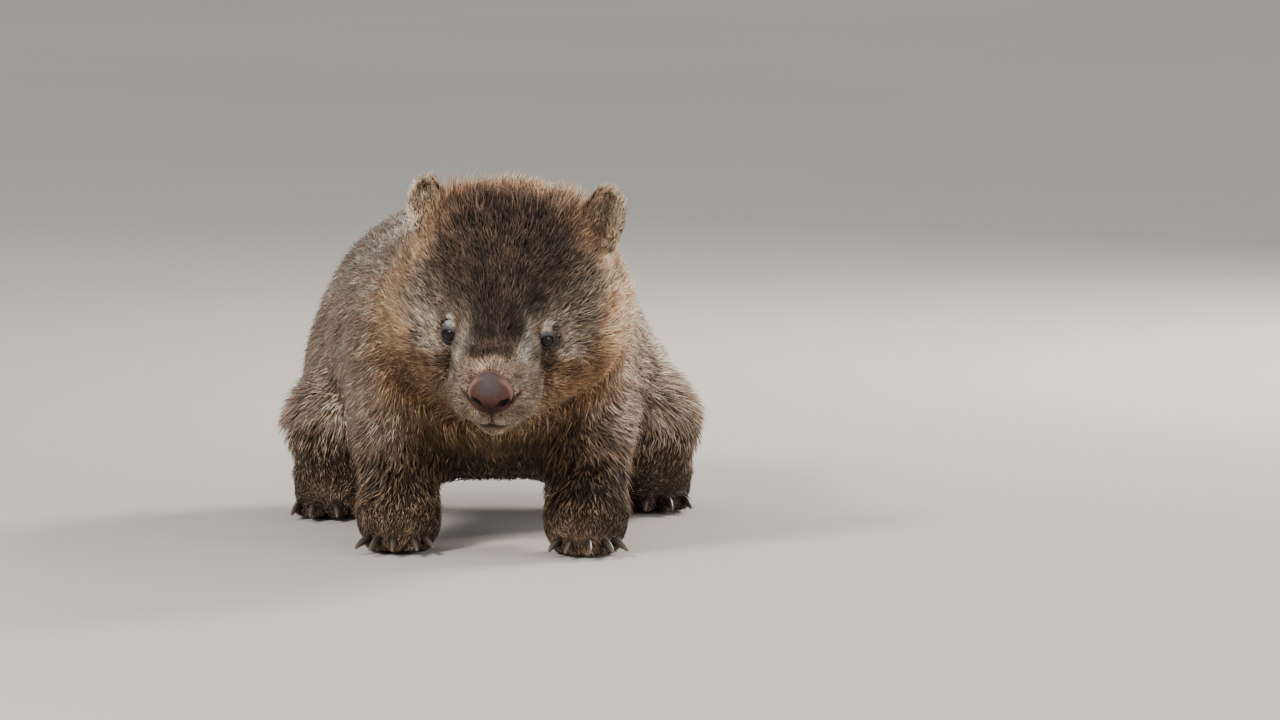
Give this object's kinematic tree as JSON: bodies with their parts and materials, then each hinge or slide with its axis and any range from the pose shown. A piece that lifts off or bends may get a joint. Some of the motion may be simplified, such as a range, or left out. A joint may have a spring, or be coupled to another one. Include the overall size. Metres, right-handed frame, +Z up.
{
  "type": "common wombat model",
  "caption": "Still life-size bare-nosed wombat, standing on all four feet with its broad head lowered and turned slightly, small upright ears, blunt muzzle and short stout clawed legs.",
  "frame": {"origin": "middle of the bounding box at the level of the soles", "axes": "+Z up, the muzzle towards -Y and the tail towards +Y, the animal's left side towards +X"},
  "size_m": [0.3954, 0.8214, 0.3452],
  "materials": {
    "coat": "coarse grizzled grey-brown fur with pale tips",
    "nose": "bare pebbled skin, slightly moist",
    "eye": "wet dark brown",
    "claw": "worn horn"
  },
  "bodies": {
    "root": {"torso": "coat", "neck": "coat", "head": "coat", "nose": "nose", "tail": "coat", "ear_left": "coat", "ear_right": "coat", "eye_left": "eye", "eye_right": "eye", "foreleg_left": "coat", "foreleg_right": "coat", "forepaw_left": "coat", "forepaw_left_claw_1": "claw", "forepaw_left_claw_2": "claw", "forepaw_left_claw_3": "claw", "forepaw_left_claw_4": "claw", "forepaw_left_claw_5": "claw", "forepaw_right": "coat", "forepaw_right_claw_1": "claw", "forepaw_right_claw_2": "claw", "forepaw_right_claw_3": "claw", "forepaw_right_claw_4": "claw", "forepaw_right_claw_5": "claw", "hindleg_left": "coat", "hindleg_right": "coat", "hindpaw_left": "coat", "hindpaw_left_claw_1": "claw", "hindpaw_left_claw_2": "claw", "hindpaw_left_claw_3": "claw", "hindpaw_left_claw_4": "claw", "hindpaw_right": "coat", "hindpaw_right_claw_1": "claw", "hindpaw_right_claw_2": "claw", "hindpaw_right_claw_3": "claw", "hindpaw_right_claw_4": "claw"}
  },
  "joints": []
}
